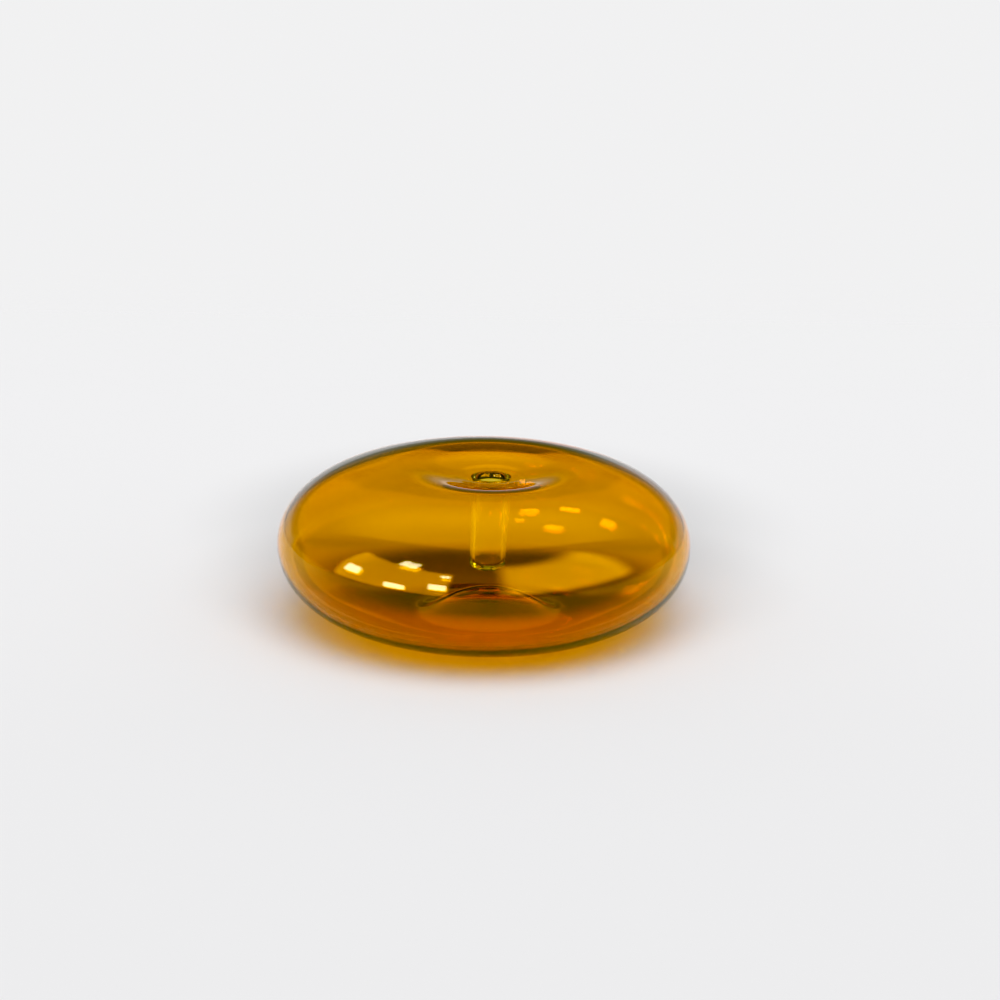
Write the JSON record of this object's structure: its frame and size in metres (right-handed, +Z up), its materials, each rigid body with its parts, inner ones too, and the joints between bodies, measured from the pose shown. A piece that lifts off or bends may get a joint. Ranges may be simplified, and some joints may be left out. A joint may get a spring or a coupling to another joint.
{
  "type": "glass incense holder",
  "caption": "Hollow, flattened amber glass bubble with a dimpled top and a colourless blind well tube inside that holds an incense stick upright; pushed-up base on a narrow foot ring.",
  "frame": {"origin": "centre of the foot ring, on the surface that the holder stands on", "axes": "+Z up along the axis of the well; the body is round about Z, so X and Y are equal"},
  "size_m": [0.108, 0.108, 0.0414],
  "materials": {
    "amber_glass": "clear amber borosilicate glass, fire-polished",
    "clear_glass": "colourless borosilicate glass, fire-polished"
  },
  "bodies": {
    "root": {"bubble_shell": "amber_glass", "mouth_bead": "amber_glass", "well_tube": "clear_glass", "base_seal": "amber_glass"}
  },
  "joints": []
}
